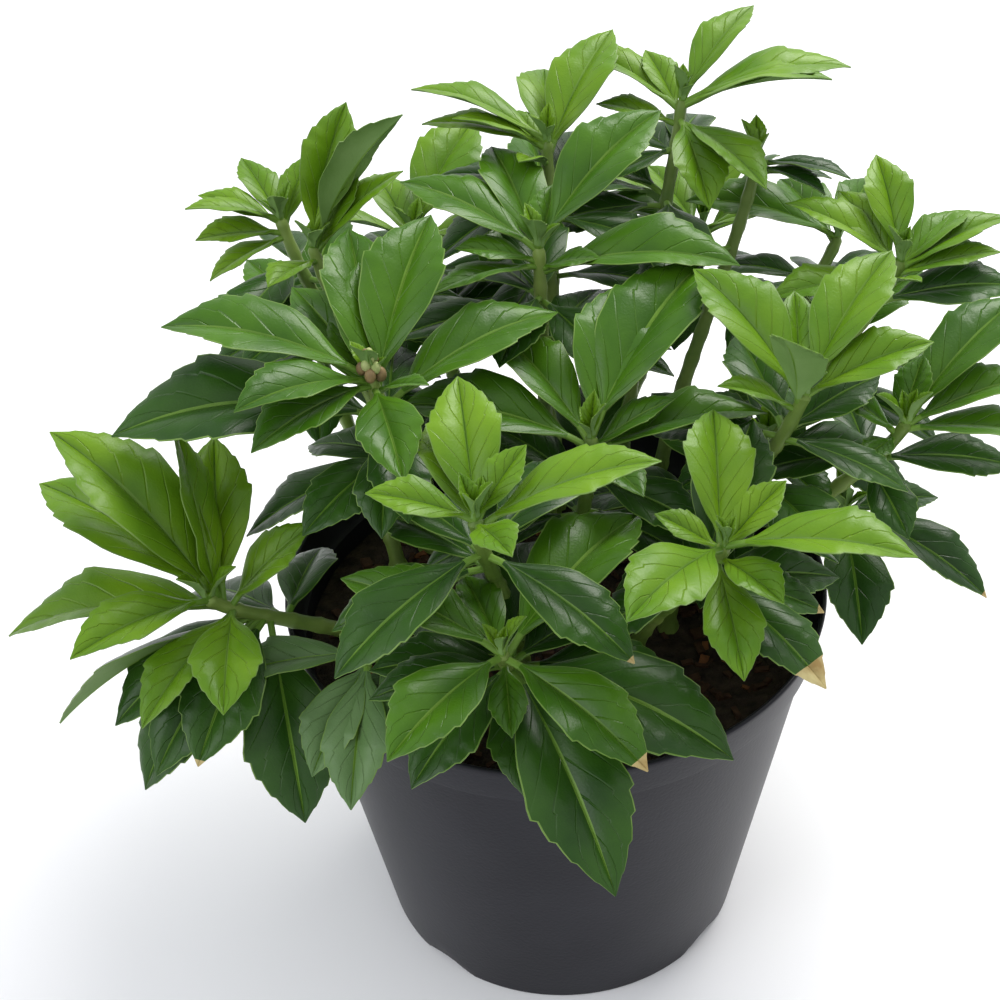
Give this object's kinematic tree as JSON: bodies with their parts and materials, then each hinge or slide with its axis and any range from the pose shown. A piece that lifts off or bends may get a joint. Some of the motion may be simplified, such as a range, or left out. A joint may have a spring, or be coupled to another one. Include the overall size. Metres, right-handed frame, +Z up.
{
  "type": "potted Japanese spurge",
  "caption": "Low evergreen ground-cover plant: upright fleshy stems with rosettes of toothed leaves, in a round tapered nursery pot.",
  "frame": {"origin": "centre of the pot's flat underside", "axes": "+Z up along the pot's axis; -Y towards the side that the picture shows"},
  "size_m": [0.2994, 0.2907, 0.2583],
  "materials": {
    "pot_plastic": "satin black moulded plastic",
    "potting_soil": "moist dark peat with bits of bark",
    "stem": "smooth pale green fleshy stem",
    "foliage": "glossy leathery leaves"
  },
  "bodies": {
    "root": {"pot": "pot_plastic", "soil": "potting_soil", "stem_front": "stem", "stem_front_mid": "stem", "stem_front_right": "stem", "stem_front_low": "stem", "stem_left_low": "stem", "stem_left_mid": "stem", "stem_left_far": "stem", "stem_left_inner": "stem", "stem_middle": "stem", "stem_middle_back": "stem", "stem_back": "stem", "stem_back_top": "stem", "stem_back_right": "stem", "stem_right_inner": "stem", "stem_right_mid": "stem", "stem_right_far": "stem", "stem_right_outer": "stem", "stem_right_low": "stem", "stem_right_under": "stem", "stem_rear_left": "stem", "stem_rear_low_left": "stem", "stem_rear_mid": "stem", "stem_rear_right": "stem", "stem_rear_low_right": "stem", "leaves_front": "foliage", "leaves_front_mid": "foliage", "leaves_front_right": "foliage", "leaves_front_low": "foliage", "leaves_left_low": "foliage", "leaves_left_mid": "foliage", "leaves_left_far": "foliage", "leaves_left_inner": "foliage", "leaves_middle": "foliage", "leaves_middle_back": "foliage", "leaves_back": "foliage", "leaves_back_top": "foliage", "leaves_back_right": "foliage", "leaves_right_inner": "foliage", "leaves_right_mid": "foliage", "leaves_right_far": "foliage", "leaves_right_outer": "foliage", "leaves_right_low": "foliage", "leaves_right_under": "foliage", "leaves_rear_left": "foliage", "leaves_rear_low_left": "foliage", "leaves_rear_mid": "foliage", "leaves_rear_right": "foliage", "leaves_rear_low_right": "foliage"}
  },
  "joints": []
}
